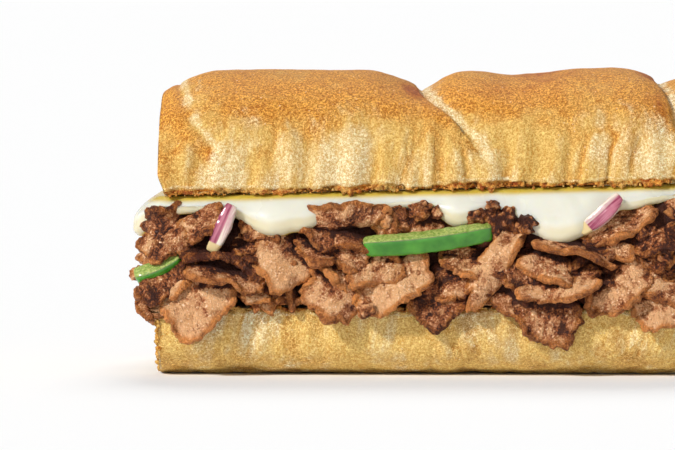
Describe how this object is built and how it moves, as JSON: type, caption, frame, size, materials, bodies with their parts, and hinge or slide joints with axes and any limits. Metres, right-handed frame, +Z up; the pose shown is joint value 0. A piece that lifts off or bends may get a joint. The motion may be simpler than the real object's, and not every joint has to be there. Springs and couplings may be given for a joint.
{
  "type": "submarine sandwich",
  "caption": "Half of a long loaf sandwich with a heap of sliced beef, melted cheese, green pepper and red onion, cut square at one end.",
  "frame": {"origin": "on the surface that the sandwich lies on, under the middle of the bread", "axes": "+X along the loaf from its cut end to its baked end, +Y from the front to the rear, +Z up"},
  "size_m": [0.1692, 0.092, 0.0795],
  "materials": {
    "crust": "golden brown baked crust, browner on the crest",
    "pale_crust": "pale yellow bread with a toasted rim",
    "beef": "moist browned beef slices",
    "cheese": "glossy melted white cheese",
    "pepper": "green pepper skin with a paler cut face",
    "onion": "red onion with pale edges"
  },
  "bodies": {
    "root": {"bun_upper": "crust", "bun_lower": "pale_crust", "beef": "beef", "cheese": "cheese", "pepper_front": "pepper", "pepper_end": "pepper", "pepper_rear": "pepper", "onion_left": "onion", "onion_right": "onion", "onion_rear": "onion"}
  },
  "joints": []
}
